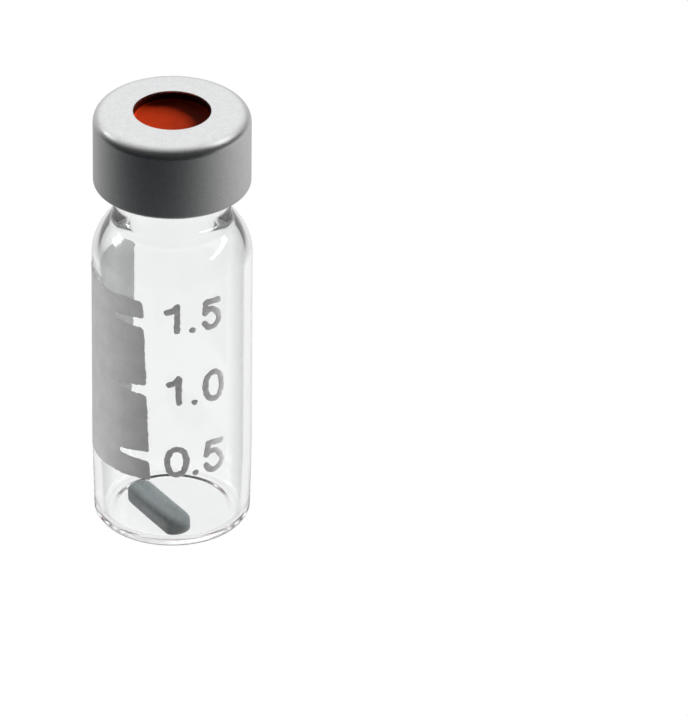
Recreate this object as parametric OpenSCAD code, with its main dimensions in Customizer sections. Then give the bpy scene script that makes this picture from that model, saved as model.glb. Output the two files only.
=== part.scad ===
// Crimp-capped glass sample vial of the 2 ml size. A blown glass body with a narrow neck carries
// a grooved flange round its lip. A rubber septum lies on the lip, and a thin aluminium cap
// crimped under the flange holds it there. A fired enamel patch on the body has three fill marks
// cut into its edge, and a coated stir bar lies on the floor inside.
// Lengths are in millimetres. The vial stands on z = 0 and its axis is the Z axis.

/* [Glass body] */
// Height of the glass from the standing ring to the lip
glass_h = 32; // [30:0.5:36]
// Outside diameter of the body
body_d = 11.6; // [11.2:0.1:13]
// Thickness of the body wall
wall = 0.6; // [0.5:0.05:0.9]
// Height of the inside floor above the table
floor_h = 0.5; // [0.4:0.05:1.2]
// Rounding of the outside edge of the base
heel_round = 0.65; // [0.4:0.05:0.9]
// Rounding of the inside corner between floor and wall
inside_round = 0.55; // [0.4:0.05:0.6]
// How much the radius shrinks towards the base
base_taper = 0.12; // [0:0.02:0.2]
// Height over which the body narrows towards the base
taper_h = 5.6; // [3:0.2:6]
// Depth of the shallow hollow under the base
base_hollow = 0.1; // [0.05:0.05:0.2]
// Width of the slope from the standing ring up to the hollow
hollow_slope = 0.4; // [0.2:0.05:0.8]
// Width of the flat ring that the vial stands on
ring_w = 0.55; // [0.4:0.05:1.2]

/* [Shoulder and neck] */
// Distance from the lip down to the corner of the shoulder
shoulder_drop = 8.5; // [8:0.1:10]
// Slope of the shoulder above the level
shoulder_slope = 41; // [36:1:44]
// Rounding where the body turns into the shoulder
shoulder_round = 3.5; // [2:0.1:3.5]
// Thickness of the glass in the shoulder
shoulder_t = 0.75; // [0.6:0.05:1.1]
// Outside diameter of the neck
neck_d = 8.5; // [8.2:0.1:8.8]
// Rounding where the shoulder turns into the neck
neck_round = 1; // [0.5:0.1:1]
// Diameter of the bore through the neck
bore_d = 6; // [5:0.1:6.4]

/* [Flange] */
// Outside diameter of the flange
flange_d = 10.9; // [10.6:0.1:11.2]
// Height of the flange from its underside to the lip
flange_h = 3.8; // [3.4:0.1:4.2]
// Depth of the groove round the middle of the flange
groove_depth = 0.35; // [0.1:0.05:0.5]
// Half the height of the groove where it opens
groove_half = 0.55; // [0.4:0.05:0.7]
// Rounding of the bottom of the groove
groove_round = 0.3; // [0.1:0.05:0.4]
// Rounding of the flange edges and of the lip
lip_round = 0.4; // [0.2:0.05:0.5]

/* [Cap and septum] */
// Thickness of the aluminium sheet
sheet = 0.2; // [0.15:0.01:0.25]
// Diameter of the hole in the middle of the cap
hole_d = 5.6; // [4.5:0.1:6]
// Rounding of the top edge of the cap
cap_round = 0.95; // [0.6:0.05:1.1]
// Clearance between the skirt of the cap and the flange
cap_gap = 0.05; // [0.02:0.01:0.1]
// Rounding of the crimped edge
crimp_round = 0.24; // [0.22:0.02:0.55]
// Upward slope of the crimped edge under the flange
crimp_slope = 20; // [10:1:24]
// Width of the crimped edge measured inwards from the skirt
crimp_w = 0.95; // [0.85:0.05:1]
// Clearance between the crimped edge and the underside of the flange
crimp_gap = 0.08; // [0.02:0.01:0.15]
// Thickness of the septum
septum_t = 1.3; // [1:0.05:1.6]
// Clearance between the edge of the septum and the cap
septum_gap = 0.1; // [0.05:0.01:0.2]
// Depth of the recess moulded into the septum
septum_recess = 0.55; // [0.2:0.05:0.8]
// Step from the edge of the hole in to the recess
recess_step = 0.04; // [0.02:0.01:0.2]
// Rounding round the bottom of the recess
recess_round = 0.15; // [0.05:0.05:0.2]

/* [Write-on patch] */
// Distance from the narrowing of the body up to the patch
patch_lift = 0.3; // [0.1:0.1:1]
// Distance from the patch up to the bend of the shoulder
patch_gap = 1.2; // [0.8:0.1:2]
// Bearing of the edge with the fill marks, from the front towards the left
patch_from = 19; // [10:1:40]
// Angle that the patch covers round the body
patch_sweep = 131; // [90:1:150]
// Thickness of the enamel
enamel = 0.06; // [0.04:0.01:0.1]
// Height of the lowest fill mark
mark_first = 7.8; // [7.4:0.1:8.4]
// Height from one fill mark to the next
mark_step = 5.57; // [5:0.01:6]
// Length of a fill mark along the body
mark_len = 2.4; // [1.5:0.1:3]
// Height of a fill mark
mark_h = 0.65; // [0.4:0.05:0.9]

/* [Stir bar] */
// Width of the stir bar
bar_w = 1.9; // [1.6:0.1:2.4]
// Height of the stir bar
bar_h = 1.7; // [1.4:0.1:2.2]
// Length of the stir bar
bar_len = 6.85; // [4.5:0.05:7]
// Rounding of the long edges of the stir bar
bar_round = 0.6; // [0.55:0.05:0.7]
// Direction of the stir bar, from the right towards the front
bar_angle = 58; // [0:1:180]
// Distance of the stir bar's line from the middle of the vial
bar_side = 1.9; // [0.5:0.05:2.4]
// Clearance of the stir bar from the floor and the wall
bar_gap = 0.02; // [0.01:0.01:0.1]

/* [Hidden] */
$fn = 96;

body_r = body_d / 2;
inner_r = body_r - wall;
neck_r = neck_d / 2;
bore_r = bore_d / 2;
flange_r = flange_d / 2;
flange_z = glass_h - flange_h;
groove_z = flange_z + flange_h / 2;
// The shoulder is one sloping line with a bend at each end; the bends share its length.
shoulder_z = glass_h - shoulder_drop;
shoulder_run = (body_r - neck_r) / cos(shoulder_slope);
bend = tan((90 - shoulder_slope) / 2);
bend_fit = min(1, 0.98 * shoulder_run / ((shoulder_round + neck_round) * bend));
shoulder_arc = shoulder_round * bend_fit;
neck_arc = neck_round * bend_fit;
neck_z = shoulder_z + (body_r - neck_r) * tan(shoulder_slope);
straight_top = shoulder_z - shoulder_arc * bend;
// The inside of the shoulder runs parallel to the outside.
inside_line = neck_z + neck_r * tan(shoulder_slope) - shoulder_t / cos(shoulder_slope);
inside_neck_z = inside_line - bore_r * tan(shoulder_slope);
inside_shoulder_z = inside_line - inner_r * tan(shoulder_slope);
inside_fit = 0.9 * (inner_r - bore_r) / cos(shoulder_slope) / bend;
ring_r = body_r - base_taper - heel_round - ring_w;

cap_r = flange_r + cap_gap + sheet;
cap_top = glass_h + septum_t + sheet;
hole_r = hole_d / 2;
// The upper corner of the crimped edge lies under the flange, and the rest hangs from there.
crimp_rise = crimp_w * tan(crimp_slope) + sheet * cos(crimp_slope);
crimp_z = flange_z - crimp_gap - crimp_rise;
crimp_up = [sin(crimp_slope), cos(crimp_slope)];
crimp_tip = [cap_r - crimp_w, crimp_z + crimp_w * tan(crimp_slope)];
crimp_corner = [cap_r - sheet, crimp_z + sheet * (1 + sin(crimp_slope)) / cos(crimp_slope)];

septum_r = cap_r - sheet - septum_gap;
recess_r = hole_r - recess_step;
recess_z = septum_t - septum_recess;

patch_low = taper_h + patch_lift;
patch_h = straight_top - patch_gap - patch_low;
patch_start = 270 - patch_from - patch_sweep;

bar_r = bar_w / 2;
// The round front end of the bar leans against the wall.
bar_room = inner_r - base_taper - bar_gap - bar_r;
bar_reach = sqrt(pow(bar_room, 2) - pow(bar_side, 2)) + bar_r;

function unit(v) = v / norm(v);
function spin(v, d) = [v[0] * cos(d) - v[1] * sin(d), v[0] * sin(d) + v[1] * cos(d)];
function turn(a, p, b) = sign((p[0] - a[0]) * (b[1] - p[1]) - (p[1] - a[1]) * (b[0] - p[0]));
function half_angle(a, p, b) = acos(unit(a - p) * unit(b - p)) / 2;
function arc_middle(a, p, b, r) =
    p + unit(unit(a - p) + unit(b - p)) * r / sin(half_angle(a, p, b));
function arc_start(a, p, b, r) = p + unit(a - p) * r / tan(half_angle(a, p, b));
function is_square(a, p, b) = abs(half_angle(a, p, b) - 45) < 0.001;

// The points of the arc that rounds the corner p between its neighbours a and b.
function arc_points(a, p, b, r) =
    let (middle = arc_middle(a, p, b, r), sweep = 180 - 2 * half_angle(a, p, b), steps = ceil(sweep / 6))
    [for (k = [0 : steps])
        middle + spin(arc_start(a, p, b, r) - middle, turn(a, p, b) * sweep * k / steps)];

// Corner i of an outline with its neighbours: [before, corner, after, rounding].
function corner(pts, i) =
    let (n = len(pts), a = pts[(i + n - 1) % n], p = pts[i], b = pts[(i + 1) % n])
    [[a[0], a[1]], [p[0], p[1]], [b[0], b[1]], p[2]];

// The sliver between a square corner and the true circle that rounds it.
module sliver(c) {
    middle = arc_middle(c[0], c[1], c[2], c[3]);
    difference() {
        polygon([c[1], arc_start(c[0], c[1], c[2], c[3]), middle, arc_start(c[2], c[1], c[0], c[3])]);
        translate(middle) circle(c[3]);
    }
}

// A closed outline of [x, y, rounding] points, listed anticlockwise. Square corners are rounded
// with true circles and sloping corners with points along their arcs.
module outline(pts) {
    corners = [for (i = [0 : len(pts) - 1]) corner(pts, i)];
    square_corners = [for (c = corners) if (c[3] > 0 && is_square(c[0], c[1], c[2])) c];
    difference() {
        union() {
            polygon([for (c = corners)
                each (c[3] > 0 && !is_square(c[0], c[1], c[2]) ? arc_points(c[0], c[1], c[2], c[3]) : [c[1]])]);
            for (c = square_corners) if (turn(c[0], c[1], c[2]) < 0) sliver(c);
        }
        for (c = square_corners) if (turn(c[0], c[1], c[2]) > 0) sliver(c);
    }
}

// The glass, turned from one outline: base, body, shoulder, neck, flange, lip, bore and inside.
module vial_glass() {
    color([0.88, 0.94, 0.94, 0.45])
    rotate_extrude()
    outline([
        [0, base_hollow, 0],
        [ring_r - hollow_slope, base_hollow, 0],
        [ring_r, 0, 0],
        [body_r - base_taper, 0, heel_round],
        [body_r, taper_h, 0],
        [body_r, shoulder_z, shoulder_arc],
        [neck_r, neck_z, neck_arc],
        [neck_r, flange_z, lip_round],
        [flange_r, flange_z, lip_round],
        [flange_r, groove_z - groove_half, lip_round],
        [flange_r - groove_depth, groove_z, groove_round],
        [flange_r, groove_z + groove_half, lip_round],
        [flange_r, glass_h, lip_round],
        [bore_r, glass_h, lip_round],
        [bore_r, inside_neck_z, inside_fit * 0.35],
        [inner_r, inside_shoulder_z, inside_fit * 0.52],
        [inner_r, taper_h, 0],
        [inner_r - base_taper, floor_h, inside_round],
        [0, floor_h, 0]
    ]);
}

// The rubber disc on the lip: its upper edge follows the cap, and its middle is a moulded recess.
module septum() {
    color([0.66, 0.17, 0.07])
    translate([0, 0, glass_h])
    rotate_extrude()
    outline([
        [0, 0, 0],
        [septum_r, 0, 0],
        [septum_r, septum_t, cap_round - sheet],
        [recess_r, septum_t, 0],
        [recess_r, recess_z, recess_round],
        [0, recess_z, 0]
    ]);
}

// The cap, one sheet: open top, rounded edge, straight skirt and the edge crimped under the flange.
module crimp_cap() {
    color([0.78, 0.79, 0.81])
    rotate_extrude()
    outline([
        concat(crimp_tip, 0),
        [cap_r, crimp_z, crimp_round],
        [cap_r, cap_top, cap_round],
        [hole_r, cap_top, 0],
        [hole_r, cap_top - sheet, 0],
        [cap_r - sheet, cap_top - sheet, cap_round - sheet],
        concat(crimp_corner, crimp_round - sheet),
        concat(crimp_tip + crimp_up * sheet, 0)
    ]);
}

// A fill mark: a slot cut in from the edge of the patch, with a round inner end.
module fill_mark() {
    turn_in = mark_len / body_r * 180 / PI;
    start = 270 - patch_from - turn_in;
    rotate([0, 0, start])
    rotate_extrude(angle = 2 * turn_in)
    translate([inner_r, -mark_h / 2]) square([2 * wall, mark_h]);
    rotate([0, 0, start])
    translate([inner_r, 0, 0])
    rotate([0, 90, 0])
    cylinder(h = 2 * wall, d = mark_h);
}

// The enamel patch, a thin band fired onto the body, with a slot for each fill mark.
module write_on_patch() {
    color([0.58, 0.58, 0.58])
    difference() {
        rotate([0, 0, patch_start])
        rotate_extrude(angle = patch_sweep)
        translate([body_r, patch_low]) square([enamel, patch_h]);
        for (i = [0 : 2])
            translate([0, 0, mark_first + i * mark_step]) fill_mark();
    }
}

// Half of the bar's cross section, from its middle line out to one side.
module bar_half() {
    outline([
        [0, 0, 0],
        [bar_r, 0, bar_round],
        [bar_r, bar_h, bar_round],
        [0, bar_h, 0]
    ]);
}

// The coated bar on the floor, with flat sides and round ends, one of them against the wall.
module stir_bar() {
    color([0.5, 0.52, 0.53])
    rotate([0, 0, -bar_angle])
    translate([bar_reach - bar_len, -bar_side, floor_h + bar_gap]) {
        translate([bar_r, 0, 0]) rotate([0, 0, 90]) rotate_extrude(angle = 180) bar_half();
        translate([bar_len - bar_r, 0, 0]) rotate([0, 0, -90]) rotate_extrude(angle = 180) bar_half();
        translate([bar_r, 0, 0])
        rotate([90, 0, 90])
        linear_extrude(height = bar_len - 2 * bar_r) {
            bar_half();
            mirror([1, 0]) bar_half();
        }
    }
}

vial_glass();
septum();
crimp_cap();
write_on_patch();
stir_bar();
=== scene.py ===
import math

import bmesh
import bpy
from mathutils import Matrix, Vector, noise


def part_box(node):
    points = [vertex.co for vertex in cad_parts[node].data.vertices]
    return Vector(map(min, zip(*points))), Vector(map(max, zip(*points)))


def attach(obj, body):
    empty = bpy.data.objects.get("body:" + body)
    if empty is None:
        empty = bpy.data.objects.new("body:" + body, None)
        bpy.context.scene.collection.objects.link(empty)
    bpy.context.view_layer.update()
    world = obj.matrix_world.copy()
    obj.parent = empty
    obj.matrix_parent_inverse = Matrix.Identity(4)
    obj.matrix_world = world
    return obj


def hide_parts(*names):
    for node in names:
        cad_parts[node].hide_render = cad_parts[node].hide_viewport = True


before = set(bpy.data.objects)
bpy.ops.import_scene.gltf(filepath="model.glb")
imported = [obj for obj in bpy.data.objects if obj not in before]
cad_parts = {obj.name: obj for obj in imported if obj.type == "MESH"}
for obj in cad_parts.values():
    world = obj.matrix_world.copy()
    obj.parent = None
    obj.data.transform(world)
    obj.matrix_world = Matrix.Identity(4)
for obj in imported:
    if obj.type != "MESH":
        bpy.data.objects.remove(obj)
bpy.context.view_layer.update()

# The vial: clear borosilicate glass, formed from a length of tube. The body is drawn in to a shoulder
# and a neck, the base is closed with a slight hollow so that it stands on a ring, and a flange with
# a shallow groove is pressed round the lip for the cap to grip.
mm = 0.001
glass_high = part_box("vial_glass")[1]
body_r = glass_high.y
lip_z = glass_high.z
wall = 0.6 * mm
inner_r = body_r - wall
floor_z = 0.5 * mm
floor_round = 0.55 * mm
base_taper = 0.12 * mm
taper_z = 5.6 * mm
ring_r = 4.48 * mm
ring_round = 0.5 * mm
hollow_r = 4.08 * mm
hollow_h = 0.1 * mm
heel_round = 0.65 * mm
shoulder_z = lip_z - 8.5 * mm
shoulder_slope = math.radians(41)
shoulder_round = 3.43 * mm
shoulder_t = 0.75 * mm
neck_r = 4.25 * mm
neck_z = shoulder_z + (body_r - neck_r) * math.tan(shoulder_slope)
neck_round = 0.98 * mm
flange_r = 5.45 * mm
flange_z = lip_z - 3.8 * mm
groove_z = lip_z - 1.9 * mm
groove_half = 0.55 * mm
groove_depth = 0.35 * mm
groove_round = 0.3 * mm
lip_round = 0.4 * mm
inside_line = neck_z + neck_r * math.tan(shoulder_slope) - shoulder_t / math.cos(shoulder_slope)
bore_r = 3.0 * mm
bore_z = inside_line - bore_r * math.tan(shoulder_slope)
bore_round = 2.01 * mm
bend_z = inside_line - inner_r * math.tan(shoulder_slope)
bend_round = 2.99 * mm
merge_gap = 0.0005 * mm
steps_per_radian = 8
eighth = math.pi / 4


def turned(outline, steps, closed=False):
    """A bmesh turned about Z from an outline of (radius, height, rounding) corners."""
    bm = bmesh.new()
    places = [Vector((r, 0, z)) for r, z, rounding in outline]
    corners = [bm.verts.new(place) for place in places]
    for a, b in zip(corners, corners[1:]):
        bm.edges.new((a, b))
    if closed:
        bm.edges.new((corners[-1], corners[0]))
    for i, (r, z, rounding) in enumerate(outline):
        if rounding:
            before = places[i - 1] - places[i]
            after = places[(i + 1) % len(places)] - places[i]
            inside = before.angle(after)
            bmesh.ops.bevel(bm, geom=[corners[i]], offset=rounding / math.tan(inside / 2),
                            offset_type="OFFSET", profile=0.5, affect="VERTICES", material=-1,
                            segments=max(3, round((math.pi - inside) * steps_per_radian)))
    bmesh.ops.spin(bm, geom=bm.verts[:] + bm.edges[:], cent=(0, 0, 0), axis=(0, 0, 1),
                   angle=eighth, steps=steps // 8)
    for angle in (eighth, 2 * eighth, 4 * eighth):
        more = bmesh.ops.duplicate(bm, geom=bm.verts[:] + bm.edges[:] + bm.faces[:])["geom"]
        bmesh.ops.rotate(bm, verts=[v for v in more if isinstance(v, bmesh.types.BMVert)],
                         cent=(0, 0, 0), matrix=Matrix.Rotation(angle, 3, "Z"))
    bmesh.ops.remove_doubles(bm, verts=bm.verts, dist=merge_gap)
    bmesh.ops.recalc_face_normals(bm, faces=bm.faces)
    return bm


def finished(name, bm, material, sharp_angle=35):
    """The object of a finished bmesh, smooth but for its sharp edges."""
    mesh = bpy.data.meshes.new(name)
    bm.to_mesh(mesh)
    bm.free()
    mesh.shade_smooth()
    mesh.set_sharp_from_angle(angle=math.radians(sharp_angle))
    mesh.materials.append(material)
    piece = bpy.data.objects.new(name, mesh)
    bpy.context.scene.collection.objects.link(piece)
    even = piece.modifiers.new("even normals", "WEIGHTED_NORMAL")
    even.weight = 100
    even.keep_sharp = True
    return piece


def node(tree, kind, inputs=None, **settings):
    """A new node in a tree. Each input is given a value, or the output that it reads."""
    made = tree.nodes.new(kind)
    for name, setting in settings.items():
        setattr(made, name, setting)
    for name, given in (inputs or {}).items():
        if isinstance(given, bpy.types.NodeSocket):
            tree.links.new(given, made.inputs[name])
        else:
            made.inputs[name].default_value = given
    return made


def ramp(tree, read, start, end, low=0.0, high=1.0):
    """The output of a node that goes from low to high as what it reads goes from start to end."""
    return node(tree, "ShaderNodeMapRange", {
        "Value": read, "From Min": start, "From Max": end, "To Min": low, "To Max": high,
    }).outputs["Result"]


def worked(tree, operation, *terms, **settings):
    """The output of a node that works out that operation on those terms."""
    return node(tree, "ShaderNodeMath", dict(enumerate(terms)), operation=operation,
                **settings).outputs["Value"]


def mixed(tree, share, first, second, data_type="FLOAT"):
    """The output of a node that goes from a first tone or colour to a second one."""
    return node(tree, "ShaderNodeMix", {"Factor": share, "A": first, "B": second},
                data_type=data_type).outputs["Result"]


def finish_of(name, values):
    """A new material with those values set on its shader, its node tree and the shader."""
    material = bpy.data.materials.new(name)
    material.use_nodes = True
    shader = material.node_tree.nodes["Principled BSDF"]
    for socket, value in values.items():
        shader.inputs[socket].default_value = value
    return material, material.node_tree, shader


clear = (0.968, 0.974, 0.974, 1)
# The grey of the painted shade that the inner wall of the glass is given where it is seen edge on.
painted_edge_shade = (0.16, 0.165, 0.165, 1)
wave_scale = 420
wave_stretch = 0.06
wave_depth = 0.15 * mm
haze_top = 1.3 * mm
heel_roughness = 0.07
skin = 0.1 * mm
fade_h = 2 * mm
clear_glass, tree, shader = finish_of("clear glass", {
    "Base Color": clear, "IOR": 1.473, "Transmission Weight": 1.0})
where = node(tree, "ShaderNodeTexCoord").outputs["Object"]
height = node(tree, "ShaderNodeSeparateXYZ", {"Vector": where}).outputs["Z"]
drawn_out = node(tree, "ShaderNodeMapping", {"Vector": where, "Scale": (1, 1, wave_stretch)})
waves = node(tree, "ShaderNodeTexNoise", {
    "Vector": drawn_out.outputs["Vector"], "Scale": wave_scale, "Detail": 1})
wavy = node(tree, "ShaderNodeBump", {
    "Height": waves.outputs["Fac"], "Strength": 0.03, "Distance": wave_depth})
heel_haze = ramp(tree, height, floor_z, haze_top, heel_roughness, 0.0)
flat = node(tree, "ShaderNodeVectorMath", {0: where, 1: (1, 1, 0)}, operation="MULTIPLY")
radius = node(tree, "ShaderNodeVectorMath", {0: flat.outputs["Vector"]}, operation="LENGTH")
on_inside = ramp(tree, radius.outputs["Value"], inner_r + skin, inner_r + 3 * skin, 1.0, 0.0)
below_bend = ramp(tree, height, bend_z - fade_h, bend_z, 1.0, 0.0)
inner_wall = worked(tree, "MULTIPLY", on_inside, below_bend)
# Painted shade: the glass colour is painted grey where the inner wall of the body, below the bend, is seen
# edge on. This gives grey bands along the sides of the glass.
facing = node(tree, "ShaderNodeLayerWeight", {"Blend": 0.5}).outputs["Facing"]
grazing = ramp(tree, facing, 0.45, 0.95)
painted_shade_share = worked(tree, "MULTIPLY", grazing, inner_wall)
clear_with_painted_shade = mixed(tree, painted_shade_share, clear, painted_edge_shade, "RGBA")
tree.links.new(clear_with_painted_shade, shader.inputs["Base Color"])
tree.links.new(heel_haze, shader.inputs["Roughness"])
tree.links.new(wavy.outputs["Normal"], shader.inputs["Normal"])

glass = finished("glass_body", turned([
    (0, hollow_h, 0),
    (hollow_r, hollow_h, ring_round),
    (ring_r, 0, ring_round),
    (body_r - base_taper, 0, heel_round),
    (body_r, taper_z, 0),
    (body_r, shoulder_z, shoulder_round),
    (neck_r, neck_z, neck_round),
    (neck_r, flange_z, lip_round),
    (flange_r, flange_z, lip_round),
    (flange_r, groove_z - groove_half, lip_round),
    (flange_r - groove_depth, groove_z, groove_round),
    (flange_r, groove_z + groove_half, lip_round),
    (flange_r, lip_z, lip_round),
    (bore_r, lip_z, lip_round),
    (bore_r, bore_z, bore_round),
    (inner_r, bend_z, bend_round),
    (inner_r, taper_z, 0),
    (inner_r - base_taper, floor_z, floor_round),
    (0, floor_z, 0),
], steps=512), clear_glass)
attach(glass, "root")
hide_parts("vial_glass")

# The write-on patch: a coat of grey enamel, screen printed on the body and fired on. Three fill marks
# are left bare as slots in its right edge. The print is slightly turned, and its edges are ragged.
patch_left = -14.95 * mm
patch_right = -1.88 * mm
patch_low = 5.86 * mm
patch_high = 20.75 * mm
print_lean = -0.035
print_middle = 13.3 * mm
mark_heights = [7.8 * mm, 13.38 * mm, 18.96 * mm]
mark_inner = -4.28 * mm
mark_end_half = 0.19 * mm
mark_mouth_half = 0.42 * mm
corner_round = 0.3 * mm
mark_round = 0.12 * mm
mouth_round = 0.14 * mm
top_round = 0.4 * mm
print_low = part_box("write_on_patch")[0]
ink_proud = (-print_low.x - body_r) / 2
ink_gap = 0.002 * mm
straight_edge = 0.3 * mm
edge_step = 0.08 * mm
strip_w = 0.2 * mm
strips_end = patch_right + 0.4 * mm
cut_gap = 0.0001 * mm
broad_rag = 0.035
broad_rag_scale = 1100
fine_rag = 0.07
fine_rag_scale = 4200
noise.seed_set(3)


def on_body(s, z, proud):
    """The point at arc length s from the front line and at height z, that far off the glass."""
    r = body_r + proud
    return Vector((r * math.sin(s / body_r), -r * math.cos(s / body_r), z))


def ragged(bm):
    """Moves a flat print's edge in and out a little, as ink does at the threads of a screen."""
    for v in bm.verts:
        shift = (noise.noise_vector(v.co * broad_rag_scale) * broad_rag * mm
                 + noise.noise_vector(v.co * fine_rag_scale) * fine_rag * mm)
        v.co.x += shift.x
        v.co.z += shift.z


bm = bmesh.new()
outline = [(patch_left, patch_low, corner_round), (patch_right, patch_low, mark_round)]
for z in mark_heights:
    outline += [(patch_right, z - mark_mouth_half, corner_round),
                (mark_inner, z - mark_end_half, mark_round),
                (mark_inner, z + mark_end_half, mark_round),
                (patch_right, z + mark_mouth_half, mouth_round)]
outline += [(patch_right, patch_high, top_round), (patch_left, patch_high, corner_round)]
corners = [bm.verts.new((s + (z - print_middle) * print_lean, 0, z)) for s, z, rounding in outline]
for a, b in zip(corners, corners[1:] + corners[:1]):
    bm.edges.new((a, b))
for corner, (s, z, rounding) in zip(corners, outline):
    bmesh.ops.bevel(bm, geom=[corner], offset=rounding, offset_type="OFFSET", segments=4, profile=0.5,
                    affect="VERTICES", material=-1)
for e in [e for e in bm.edges if e.calc_length() > straight_edge]:
    bmesh.ops.subdivide_edges(bm, edges=[e], cuts=int(e.calc_length() / edge_step))
ragged(bm)
bmesh.ops.contextual_create(bm, geom=bm.edges[:])
cut = patch_left + strip_w
while cut < strips_end:
    bmesh.ops.bisect_plane(bm, geom=bm.verts[:] + bm.edges[:] + bm.faces[:], dist=cut_gap,
                           plane_co=(cut, 0, 0), plane_no=(1, 0, 0))
    cut += strip_w
front = bmesh.ops.extrude_face_region(bm, geom=bm.faces[:])
raised = {v for v in front["geom"] if isinstance(v, bmesh.types.BMVert)}
for v in bm.verts:
    v.co = on_body(v.co.x, v.co.z, ink_proud if v in raised else ink_gap)
bmesh.ops.recalc_face_normals(bm, faces=bm.faces)

grain = bpy.data.node_groups.new("fine grain", "ShaderNodeTree")
for in_out, kind, names in (
        ("INPUT", "NodeSocketColor", ("Dark", "Light")),
        ("INPUT", "NodeSocketFloat", ("Cloud Size", "Grain Size", "Cloud Share", "Smoothest", "Roughest")),
        ("OUTPUT", "NodeSocketColor", ("Color",)),
        ("OUTPUT", "NodeSocketFloat", ("Roughness", "Height"))):
    for name in names:
        grain.interface.new_socket(name=name, in_out=in_out, socket_type=kind)
given = node(grain, "NodeGroupInput").outputs
where = node(grain, "ShaderNodeTexCoord").outputs["Object"]
clouds = node(grain, "ShaderNodeTexNoise", {
    "Vector": where, "Scale": worked(grain, "DIVIDE", 1.0, given["Cloud Size"]),
    "Detail": 3, "Roughness": 0.6}).outputs["Fac"]
grains = node(grain, "ShaderNodeTexNoise", {
    "Vector": where, "Scale": worked(grain, "DIVIDE", 1.0, given["Grain Size"]),
    "Detail": 2, "Roughness": 0.7}).outputs["Fac"]
blend = mixed(grain, given["Cloud Share"], grains, clouds)
spread = ramp(grain, blend, 0.35, 0.65)
node(grain, "NodeGroupOutput", {
    "Color": mixed(grain, spread, given["Dark"], given["Light"], "RGBA"),
    "Roughness": ramp(grain, grains, 0.3, 0.7, given["Smoothest"], given["Roughest"]),
    "Height": blend})
relief_depth = 0.006 * mm


def grained(name, dark, light, cloud_size, grain_size, cloud_share, roughness, values=None):
    """A material whose colour, roughness and fine relief come from the grain."""
    material, tree, shader = finish_of(name, values or {})
    fine = node(tree, "ShaderNodeGroup", {
        "Dark": (*dark, 1), "Light": (*light, 1), "Cloud Size": cloud_size, "Grain Size": grain_size,
        "Cloud Share": cloud_share, "Smoothest": roughness[0], "Roughest": roughness[1],
    }, node_tree=grain).outputs
    relief = node(tree, "ShaderNodeBump", {
        "Height": fine["Height"], "Strength": 1.0, "Distance": relief_depth})
    tree.links.new(fine["Color"], shader.inputs["Base Color"])
    tree.links.new(fine["Roughness"], shader.inputs["Roughness"])
    tree.links.new(relief.outputs["Normal"], shader.inputs["Normal"])
    return material


enamel = grained("grey enamel", dark=(0.48, 0.48, 0.48), light=(0.60, 0.60, 0.60),
                 cloud_size=1.6 * mm, grain_size=0.12 * mm, cloud_share=0.5, roughness=(0.4, 0.55))
patch = finished("enamel_patch", bm, enamel)
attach(patch, "root")
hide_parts("write_on_patch")

# The fill numerals: the same enamel, printed with the patch beside its three marks. Their strokes are
# of one width with round ends, as from a plain drawing stencil. Each is drawn in a box of its own,
# given as left, right, low and high in millimetres on the unrolled body.
stroke = 0.47 * mm
half_stroke = stroke / 2
stroke_step = 0.09 * mm
least_run = 0.02 * mm
numeral_strokes = {
    "1": [[(1, 0), (1, 1)], [(1, 0.98), (0.6, 0.84), (0, 0.75)]],
    "5": [[(0.95, 0.98), (0.1, 1)], [(0.1, 1), (0.03, 0.58)],
          [(0.03, 0.58), (0.3, 0.68), (0.62, 0.66), (0.92, 0.48), (1, 0.28), (0.86, 0.09), (0.5, 0),
           (0.2, 0.05), (0, 0.2)]],
    ".": [[(0, 0.1), (1, 0)]],
    "0": [[(0.5, 0), (0.86, 0.12), (1, 0.5), (0.86, 0.88), (0.5, 1), (0.14, 0.88), (0, 0.5),
           (0.14, 0.12), (0.5, 0)]],
}
printed = [
    ("1", -0.62, 0.58, 18.28, 20.82), (".", 1.22, 1.68, 18.26, 18.70), ("5", 2.16, 3.80, 18.26, 20.88),
    ("1", -0.47, 0.71, 12.27, 14.75), (".", 1.38, 1.84, 12.21, 12.65), ("0", 2.23, 4.06, 12.18, 14.88),
    ("0", -0.60, 1.27, 6.18, 8.78), (".", 1.46, 1.92, 6.23, 6.67), ("5", 2.33, 4.09, 6.20, 8.98),
]
round_end = [(0, 1), (0.5, 0.866), (0.87, 0.5), (1, 0.03)]


def flowing(line, closed):
    """The points of a smooth line that passes through those of a bent one."""
    points = []
    for i in range(len(line) - 1):
        p0 = line[i - 1] if i else (line[-2] if closed else line[0])
        p1 = line[i]
        p2 = line[i + 1]
        p3 = line[i + 2] if i + 2 < len(line) else (line[1] if closed else line[-1])
        steps = max(2, int((p2 - p1).length / stroke_step))
        for k in range(steps):
            t = k / steps
            points.append(0.5 * (2 * p1 + (p2 - p0) * t + (2 * p0 - 5 * p1 + 4 * p2 - p3) * t * t
                                 + (3 * p1 - p0 - 3 * p2 + p3) * t * t * t))
    return points + [line[-1]]


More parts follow.
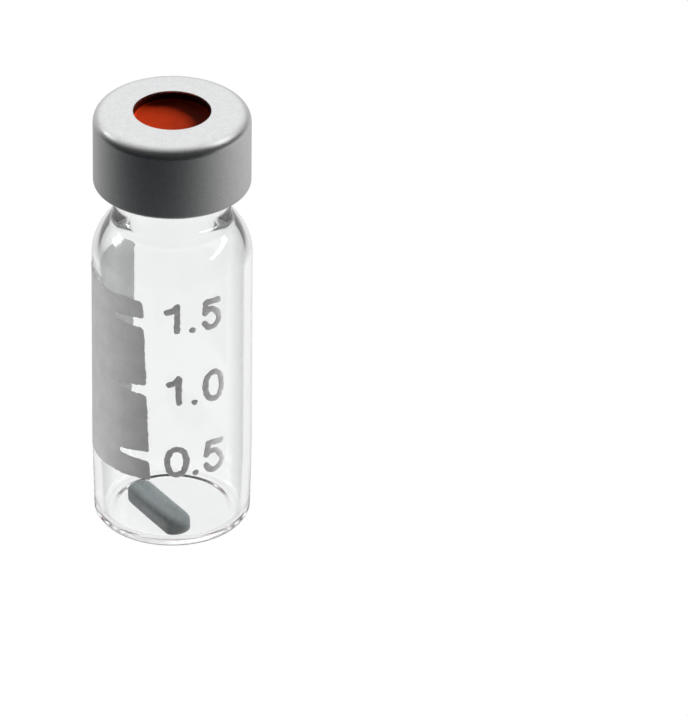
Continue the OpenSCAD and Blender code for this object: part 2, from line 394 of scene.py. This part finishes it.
lettering = bpy.data.curves.new("numerals", "CURVE")
lettering.dimensions = "3D"
lettering.bevel_depth = half_stroke
lettering.bevel_resolution = 4
lettering.use_fill_caps = True
for sign, left, right, low, high in printed:
    run = max(least_run, (right - left) * mm - stroke)
    rise = max(0, (high - low) * mm - stroke)
    for path in numeral_strokes[sign]:
        closed = path[0] == path[-1]
        line = flowing([Vector((left * mm + half_stroke + x * run, 0, low * mm + half_stroke + y * rise))
                        for x, y in path], closed)
        if closed:
            rows = [(p, 1) for p in line[:-1]]
        else:
            start = (line[0] - line[1]).normalized()
            end = (line[-1] - line[-2]).normalized()
            rows = [(line[0] + start * half_stroke * k, w) for k, w in reversed(round_end)]
            rows += [(p, 1) for p in line[1:-1]]
            rows += [(line[-1] + end * half_stroke * k, w) for k, w in round_end]
        spline = lettering.splines.new("POLY")
        spline.points.add(len(rows) - 1)
        spline.use_cyclic_u = closed
        for point, (place, w) in zip(spline.points, rows):
            point.co = (*place, 1)
            point.radius = w
drawn = bpy.data.objects.new("drawn numerals", lettering)
bpy.context.scene.collection.objects.link(drawn)
depsgraph = bpy.context.evaluated_depsgraph_get()
drawn_mesh = bpy.data.meshes.new_from_object(drawn.evaluated_get(depsgraph))
bpy.data.objects.remove(drawn)
bm = bmesh.new()
bm.from_mesh(drawn_mesh)
bmesh.ops.remove_doubles(bm, verts=bm.verts, dist=merge_gap)
bmesh.ops.recalc_face_normals(bm, faces=bm.faces)
ragged(bm)
for v in bm.verts:
    v.co = on_body(v.co.x, v.co.z, ink_gap + (0.5 - v.co.y / stroke) * (ink_proud - ink_gap))
bmesh.ops.recalc_face_normals(bm, faces=bm.faces)


def paint_light_and_shade(material, low_z, high_z, low_share, high_share):
    """Paints light and shade into a material's colour: scales it from one share at a low height to another
    at a high one.
    """
    tree = material.node_tree
    base_color = tree.nodes["Principled BSDF"].inputs["Base Color"]
    where = node(tree, "ShaderNodeTexCoord").outputs["Object"]
    height = node(tree, "ShaderNodeSeparateXYZ", {"Vector": where}).outputs["Z"]
    share = ramp(tree, height, low_z, high_z, low_share, high_share)
    scaled = node(tree, "ShaderNodeVectorMath", {
        0: base_color.links[0].from_socket, "Scale": share}, operation="SCALE")
    tree.links.new(scaled.outputs["Vector"], base_color)


thin_enamel = grained("thin grey enamel", dark=(0.42, 0.42, 0.42), light=(0.66, 0.66, 0.66),
                      cloud_size=0.45 * mm, grain_size=0.12 * mm, cloud_share=0.6, roughness=(0.45, 0.6))
# Painted light: the colour of the lowest numerals is painted a fifth lighter, fading out between 8.5 mm
# and 12.5 mm.
paint_light_and_shade(thin_enamel, low_z=8.5 * mm, high_z=12.5 * mm, low_share=1.2, high_share=1.0)
numerals = finished("fill_numerals", bm, thin_enamel, 60)
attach(numerals, "root")

# The stir bar: a small magnet in a smooth grey coating, flat on four sides, with round ends and soft
# edges. It lies loose on the floor of the vial.
bar_w = 1.9 * mm
bar_h = 1.7 * mm
bar_len = 6.85 * mm
bar_round = 0.5 * mm
dome = 1.4 * mm
dome_drop = 0.8
bar_turn = math.radians(-58)
bar_steps = 64
middle_gap = 0.001 * mm
bar_low, bar_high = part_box("stir_bar")
bar_place = (bar_low + bar_high) / 2
coating = grained("grey coating", dark=(0.21, 0.24, 0.245), light=(0.27, 0.31, 0.315),
                  cloud_size=1.2 * mm, grain_size=0.2 * mm, cloud_share=0.5, roughness=(0.2, 0.3),
                  values={"Specular IOR Level": 0.35})
bm = turned([(0, -bar_h / 2, 0), (bar_w / 2, -bar_h / 2, bar_round), (bar_w / 2, bar_h / 2, bar_round),
             (0, bar_h / 2, 0)], steps=bar_steps)
bmesh.ops.rotate(bm, verts=bm.verts, matrix=Matrix.Rotation(math.pi / bar_steps, 3, "Z"))
stretch = (bar_len - bar_w) / 2
for side in (-1, 1):
    end = [v for v in bm.verts if v.co.x * side > middle_gap]
    bmesh.ops.translate(bm, verts=end, vec=(side * stretch, 0, 0))
for v in bm.verts:
    out = max(0, abs(v.co.x) - bar_len / 2 + dome) / dome
    v.co.z *= math.sqrt(1 - dome_drop * out ** 2)
bmesh.ops.rotate(bm, verts=bm.verts, matrix=Matrix.Rotation(bar_turn, 3, "Z"))
bmesh.ops.translate(bm, verts=bm.verts, vec=bar_place)
bar = finished("stir_bar_coated", bm, coating)
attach(bar, "root")
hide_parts("stir_bar")

# The septum: a moulded disc of red-orange rubber on the lip, clamped there by the cap. Its middle is
# hollow where it shows through the hole. From just above the floor of the hollow upwards, its wall
# included, the rubber's colour is painted near black as painted shade.
septum_low, septum_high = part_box("septum")
septum_r = septum_high.x
rim_round = 0.7 * mm
under_round = 0.08 * mm
recess_r = 2.76 * mm
recess_depth = 0.55 * mm
recess_z = septum_high.z - recess_depth
recess_round = 0.15 * mm
recess_edge = 0.05 * mm
rubber = grained("red rubber", dark=(0.52, 0.036, 0.006), light=(0.66, 0.05, 0.009),
                 cloud_size=0.9 * mm, grain_size=0.1 * mm, cloud_share=0.4, roughness=(0.55, 0.7),
                 values={"Specular IOR Level": 0.1})
# Painted shade: the colour falls to 6% from just above the floor of the hollow upwards.
paint_light_and_shade(rubber, low_z=recess_z + 0.03 * mm, high_z=recess_z + 0.2 * mm, low_share=1.0, high_share=0.06)
septum = finished("rubber_septum", turned([
    (0, recess_z, 0),
    (recess_r, recess_z, recess_round),
    (recess_r, septum_high.z, recess_edge),
    (septum_r, septum_high.z, rim_round),
    (septum_r, septum_low.z, under_round),
    (0, septum_low.z, 0),
], steps=128), rubber)
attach(septum, "root")
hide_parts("septum")

# The cap: soft aluminium sheet, deep drawn to a cup with a hole and satin finished. A crimping tool
# has folded its lower edge in under the flange, which leaves that edge slightly wavy.
cap_low, cap_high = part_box("crimp_cap")
cap_r = cap_high.x
sheet = 0.2 * mm
hole_r = 2.8 * mm
hole_edge = 0.06 * mm
top_outer_round = 0.95 * mm
top_inner_round = 0.75 * mm
crimp_in = 0.95 * mm
crimp_slope = math.radians(20)
crimp_round = 0.24 * mm
crimp_edge = 0.05 * mm
crimp_z = cap_low.z - crimp_round * (math.tan(crimp_slope) + 1 / math.cos(crimp_slope) - 1)
crimp_inner_z = crimp_z + sheet * (1 / math.cos(crimp_slope) - math.tan(crimp_slope))
tip_r = cap_r - crimp_in
tip_z = crimp_z + crimp_in * math.tan(crimp_slope)
fold_top = cap_low.z + 0.7 * mm
fold_wave = 0.035
fold_wave_scale = 2.2
aluminium = grained("satin aluminium", dark=(0.72, 0.725, 0.73), light=(0.86, 0.865, 0.87),
                    cloud_size=0.4 * mm, grain_size=0.11 * mm, cloud_share=0.3, roughness=(0.3, 0.38),
                    values={"Metallic": 1.0})
bm = turned([
    (hole_r, cap_high.z, hole_edge),
    (cap_r, cap_high.z, top_outer_round),
    (cap_r, crimp_z, crimp_round),
    (tip_r, tip_z, crimp_edge),
    (tip_r + sheet * math.sin(crimp_slope), tip_z + sheet * math.cos(crimp_slope), crimp_edge),
    (cap_r - sheet, crimp_inner_z, crimp_edge),
    (cap_r - sheet, cap_high.z - sheet, top_inner_round),
    (hole_r, cap_high.z - sheet, hole_edge),
], steps=160, closed=True)
for v in bm.verts:
    if v.co.z < fold_top:
        share = (fold_top - v.co.z) / (fold_top - cap_low.z)
        v.co.z += noise.noise(v.co.normalized() * fold_wave_scale) * fold_wave * mm * share
cap = finished("aluminium_cap", bm, aluminium)
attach(cap, "root")
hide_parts("crimp_cap")

# The studio: a pale floor that glows, so that the glass stands on white. Seen straight or through the
# glass it is white. Reflections see it dark in front and grey at the back, as satin metal needs.
floor_half = 4.0
floor_drop = 0.05 * mm
caught_glow = 1.5
bm = bmesh.new()
bmesh.ops.create_grid(bm, x_segments=1, y_segments=1, size=floor_half)
bmesh.ops.translate(bm, verts=bm.verts, vec=(0, 0, -floor_drop))
mesh = bpy.data.meshes.new("floor")
bm.to_mesh(mesh)
bm.free()
floor = bpy.data.objects.new("floor", mesh)
bpy.context.scene.collection.objects.link(floor)


def reach(tree, read, direction):
    """The output of a node that tells how far a place or a look goes in a direction."""
    return node(tree, "ShaderNodeVectorMath", {0: read, 1: direction},
                operation="DOT_PRODUCT").outputs["Value"]


pale, tree, shader = finish_of("pale floor", {
    "Base Color": (0, 0, 0, 1), "Roughness": 1.0, "Specular IOR Level": 0.0, "Emission Strength": 1.0})
where = node(tree, "ShaderNodeTexCoord").outputs["Object"]
ray = node(tree, "ShaderNodeLightPath").outputs
backward = node(tree, "ShaderNodeSeparateXYZ", {"Vector": where}).outputs["Y"]
radius = node(tree, "ShaderNodeVectorMath", {0: where}, operation="LENGTH").outputs["Value"]

# Through the glass the floor is white near the vial. Rays that the glass has thrown back once see
# mostly what lies behind, and those caught in the base are bright.
near = ramp(tree, radius, 0.15, 0.3, 1.0, 0.1)
under = ramp(tree, radius, 0.004, 0.008, 1.1, 1.0)
behind = ramp(tree, backward, -0.06, -0.01, 0.1, 0.9)
beyond = ramp(tree, radius, 0.06, 0.16, 1.0, 0.1)
once = worked(tree, "GREATER_THAN", ray["Glossy Depth"], 0.5)
often = worked(tree, "GREATER_THAN", ray["Glossy Depth"], 1.5)
in_glass = mixed(tree, once, worked(tree, "MULTIPLY", near, under),
                 worked(tree, "MULTIPLY", behind, beyond))
in_base = mixed(tree, often, in_glass, caught_glow)

# What stands inside the glass is lit from the right, and the outside of the print from both sides.
lit = worked(tree, "GREATER_THAN", ray["Diffuse Depth"], 0.5)
right_glow = ramp(tree, reach(tree, where, (0.96, 0.29, 0)), 0.0, 0.035, 0.2, 8.5)
on_inside = mixed(tree, lit, in_base, right_glow)
bearing = node(tree, "ShaderNodeVectorMath", {0: where}, operation="NORMALIZE").outputs["Vector"]
aside = node(tree, "ShaderNodeSeparateXYZ", {"Vector": bearing}).outputs["X"]
side_glow = worked(tree, "MULTIPLY_ADD", worked(tree, "MULTIPLY", aside, aside), 2.5, 0.15)
on_outside = mixed(tree, ray["Is Diffuse Ray"], on_inside, side_glow)
seen = mixed(tree, ray["Is Camera Ray"], on_outside, 1.0)

# The satin metal mirrors a floor that goes from near black in front to grey at the back.
shade = ramp(tree, reach(tree, where, (0.45, 0.89, 0)), -0.056, 0.06)
in_metal = mixed(tree, shade, (0.010, 0.013, 0.016, 1), (0.61, 0.61, 0.60, 1), "RGBA")
mirrored = worked(tree, "SUBTRACT", ray["Is Glossy Ray"], ray["Is Transmission Ray"], use_clamp=True)
tone = mixed(tree, mirrored, seen, in_metal, "RGBA")
tree.links.new(tone, shader.inputs["Emission Color"])
pale.cycles.emission_sampling = "NONE"
floor.data.materials.append(pale)
light_aim = Vector((0, 0, 20 * mm))


def soft_light(name, place, size, glow, *seen_by):
    """A rectangular soft light of that radiance, which faces the vial and is seen by those rays."""
    lamp = bpy.data.lights.new(name, "AREA")
    lamp.shape = "RECTANGLE"
    lamp.size, lamp.size_y = size
    lamp.energy = glow * math.pi * size[0] * size[1]
    light = bpy.data.objects.new(name, lamp)
    light.location = place
    light.rotation_mode = "QUATERNION"
    light.rotation_quaternion = (light_aim - Vector(place)).to_track_quat("-Z", "Y")
    light.visible_diffuse = "diffuse" in seen_by
    light.visible_glossy = "glossy" in seen_by
    light.visible_transmission = "transmission" in seen_by
    bpy.context.scene.collection.objects.link(light)


soft_light("left edge light", (-0.52, 0.18, 0.27), (0.1, 0.15), 2.4, "glossy", "transmission")
soft_light("right edge light", (0.446, 0.012, 0.43), (0.25, 0.3), 1.2, "glossy")
soft_light("streak light", (0.5, 0.03, 0.31), (0.5, 0.06), 9.0, "transmission")
soft_light("bar light", (-0.49, 0.22, 0.27), (0.1, 0.16), 10.0, "transmission")
soft_light("key light", (0.45, 0.35, 0.17), (0.3, 0.3), 42.0, "diffuse")

# The room past the floor is white below the horizon and dark above it for what is seen through glass,
# with an overhead light for what stands inside. Satin metal mirrors a bright panel above and behind.
room_white = 0.95
world = bpy.data.worlds.new("studio")
bpy.context.scene.world = world
world.use_nodes = True
world.cycles.sampling_method = "NONE"
tree = world.node_tree
look = node(tree, "ShaderNodeTexCoord").outputs["Generated"]
ray = node(tree, "ShaderNodeLightPath").outputs
upward = node(tree, "ShaderNodeSeparateXYZ", {"Vector": look}).outputs["Z"]
panel = ramp(tree, reach(tree, look, (-0.1, 0.6, 0.8)), 0.2, 0.85, 0.03, 1.0)
in_metal = worked(tree, "MULTIPLY", panel, ray["Is Glossy Ray"])
straight = ramp(tree, upward, -0.1, 0.0, room_white, 0.05)
thrown_back = ramp(tree, upward, -0.1, 0.0, room_white, 0.03)
once = worked(tree, "GREATER_THAN", ray["Glossy Depth"], 0.5)
often = worked(tree, "GREATER_THAN", ray["Glossy Depth"], 2.5)
in_glass = mixed(tree, often, mixed(tree, once, straight, thrown_back), caught_glow)
lit = worked(tree, "GREATER_THAN", ray["Diffuse Depth"], 0.5)
overhead = ramp(tree, reach(tree, look, (0.35, 0.45, 0.82)), 0.55, 0.95, 0.05, 7.0)
on_inside = mixed(tree, lit, in_glass, overhead)
through = mixed(tree, ray["Is Transmission Ray"], in_metal, on_inside)
tone = mixed(tree, ray["Is Camera Ray"], through, room_white)
tree.links.new(tone, tree.nodes["Background"].inputs["Color"])

# The camera: far off with a long lens, looking down at the vial, which stands left of the middle of
# the picture. Light may pass many walls of glass before it is given up.
image_w, image_h = 688, 716
sensor = 36.0
focal_px = 9719.3
distance = 704.43 * mm
elevation = math.radians(30.861)
aim_z = 16 * mm
aim_px = (172.17, 320.17)
bounces = 512
lens = bpy.data.cameras.new("camera")
lens.sensor_width = sensor
lens.lens = focal_px * sensor / image_h
lens.clip_start = 0.01
lens.clip_end = 10
camera = bpy.data.objects.new("camera", lens)
pan = math.atan((image_w / 2 - aim_px[0]) / focal_px)
tilt = math.atan((image_h / 2 - aim_px[1]) / focal_px)
turn = Matrix.Rotation(math.pi / 2 - elevation - tilt, 4, "X") @ Matrix.Rotation(-pan, 4, "Y")
stand = Vector((0, -distance * math.cos(elevation), aim_z + distance * math.sin(elevation)))
camera.matrix_world = Matrix.Translation(stand) @ turn
bpy.context.scene.collection.objects.link(camera)
bpy.context.scene.camera = camera
bpy.context.scene.view_settings.view_transform = "Standard"
bpy.context.scene.cycles.max_bounces = bounces
bpy.context.scene.cycles.glossy_bounces = bounces
bpy.context.scene.cycles.transmission_bounces = bounces
